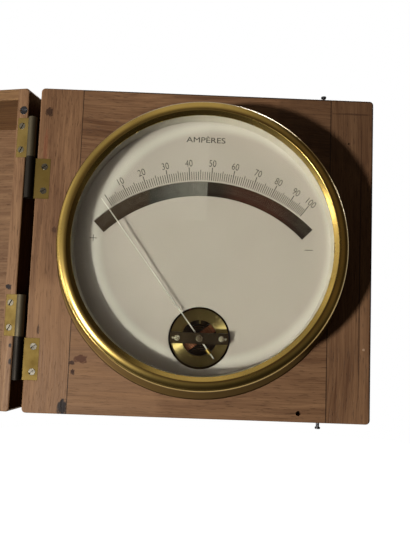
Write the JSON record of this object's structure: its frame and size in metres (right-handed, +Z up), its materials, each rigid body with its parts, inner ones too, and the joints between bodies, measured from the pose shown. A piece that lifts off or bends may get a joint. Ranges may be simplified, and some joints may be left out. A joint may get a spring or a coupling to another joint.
{
  "type": "ammeter",
  "caption": "Brass drum ammeter with a mirror-backed scale and a needle, on the panel of a shallow wooden case with a deep hinged lid.",
  "frame": {"origin": "middle of the flat back of the case", "axes": "+X to the right of a person who faces the dial, +Y out of the back towards the wall, +Z up; the dial faces -Y"},
  "size_m": [0.4126, 0.1429, 0.2054],
  "materials": {
    "panel_wood": "satin oiled",
    "cleat_wood": "satin oiled",
    "box_wood": "satin oiled",
    "back_wood": "plain",
    "lid_wood": "satin oiled",
    "lid_rail_wood": "plain",
    "hinge_brass": "worn",
    "screw_brass": "worn",
    "hook_brass": "worn",
    "pin_steel": "dull",
    "screw_steel": "dull",
    "dark_steel": "dark",
    "drum_brass": "lacquered",
    "bezel_brass": "lacquered",
    "pane": "clear",
    "seal": "matte",
    "pale_ring": "satin",
    "seat_brass": "plain",
    "dial_paint": "matte",
    "mirror": "polished",
    "movement_brass": "brushed",
    "magnet_steel": "dark",
    "pole_iron": "ground",
    "spring_bronze": "plain",
    "spindle_steel": "ground",
    "former_aluminium": "plain",
    "copper": "enamelled",
    "terminal_brass": "plain",
    "bush_black": "matte",
    "lead_cover": "woven"
  },
  "bodies": {
    "case": {"front_board": "panel_wood", "cleat_left": "cleat_wood", "cleat_right": "cleat_wood", "case_top": "box_wood", "case_bottom": "box_wood", "case_left": "box_wood", "case_right": "box_wood", "back_board": "back_wood", "hinge_case_leaves": "hinge_brass", "hinge_pins": "hinge_brass", "hinge_rings": "hinge_brass", "hinge_case_screws": "screw_brass", "latch_pins": "pin_steel", "back_screws": "screw_steel", "drum_screws": "screw_steel", "plate_screws": "screw_steel", "bridge_screws": "screw_steel", "drum_body": "drum_brass", "bezel": "bezel_brass", "glass": "pane", "glass_seal": "seal", "spacer_ring": "pale_ring", "dial_seat": "seat_brass", "dial_plate": "dial_paint", "mirror_strip": "mirror", "movement_plate": "movement_brass", "core_bracket": "movement_brass", "ring_pillars": "movement_brass", "movement_ring": "movement_brass", "upper_bridge": "movement_brass", "upper_jewel": "movement_brass", "lower_jewel": "movement_brass", "magnet": "magnet_steel", "pole_left": "pole_iron", "pole_right": "pole_iron", "core": "pole_iron", "hairsprings": "spring_bronze", "terminal_studs": "terminal_brass", "terminal_washers": "terminal_brass", "terminal_nuts": "terminal_brass", "terminal_bushes": "bush_black", "leads": "lead_cover"},
    "needle": {"spindle": "spindle_steel", "coil_former": "former_aluminium", "moving_coil": "copper", "needle": "former_aluminium", "needle_hub": "movement_brass", "counterweight": "movement_brass"},
    "lid": {"lid_top": "lid_rail_wood", "lid_bottom": "lid_rail_wood", "lid_hinge_side": "lid_wood", "lid_far_side": "lid_wood", "lid_board": "lid_wood", "lid_rim_screw": "dark_steel", "hinge_lid_leaves": "hinge_brass", "hinge_lid_screws": "screw_brass", "hook_screws": "screw_brass"},
    "hook_top": {"hook_top": "hook_brass"},
    "hook_bottom": {"hook_bottom": "hook_brass"}
  },
  "joints": [
    {"name": "needle_swing", "type": "hinge", "parent": "case", "child": "needle", "pos_m": [0, -0.0618, -0.05], "axis": [0, 1, 0], "range_deg": [0, 76.5], "stiffness_Nm_per_rad": 0.0004},
    {"name": "lid_swing", "type": "hinge", "parent": "case", "child": "lid", "pos_m": [-0.1064, -0.03225, 0], "axis": [0, 0, 1], "range_deg": [0, 192.73]},
    {"name": "hook_top_swing", "type": "hinge", "parent": "lid", "child": "hook_top", "pos_m": [-0.2787, 0.01922, 0.099], "axis": [0, 0, 1], "range_deg": [-90, 0]},
    {"name": "hook_bottom_swing", "type": "hinge", "parent": "lid", "child": "hook_bottom", "pos_m": [-0.2787, 0.01922, -0.099], "axis": [0, 0, 1], "range_deg": [-90, 0]}
  ]
}
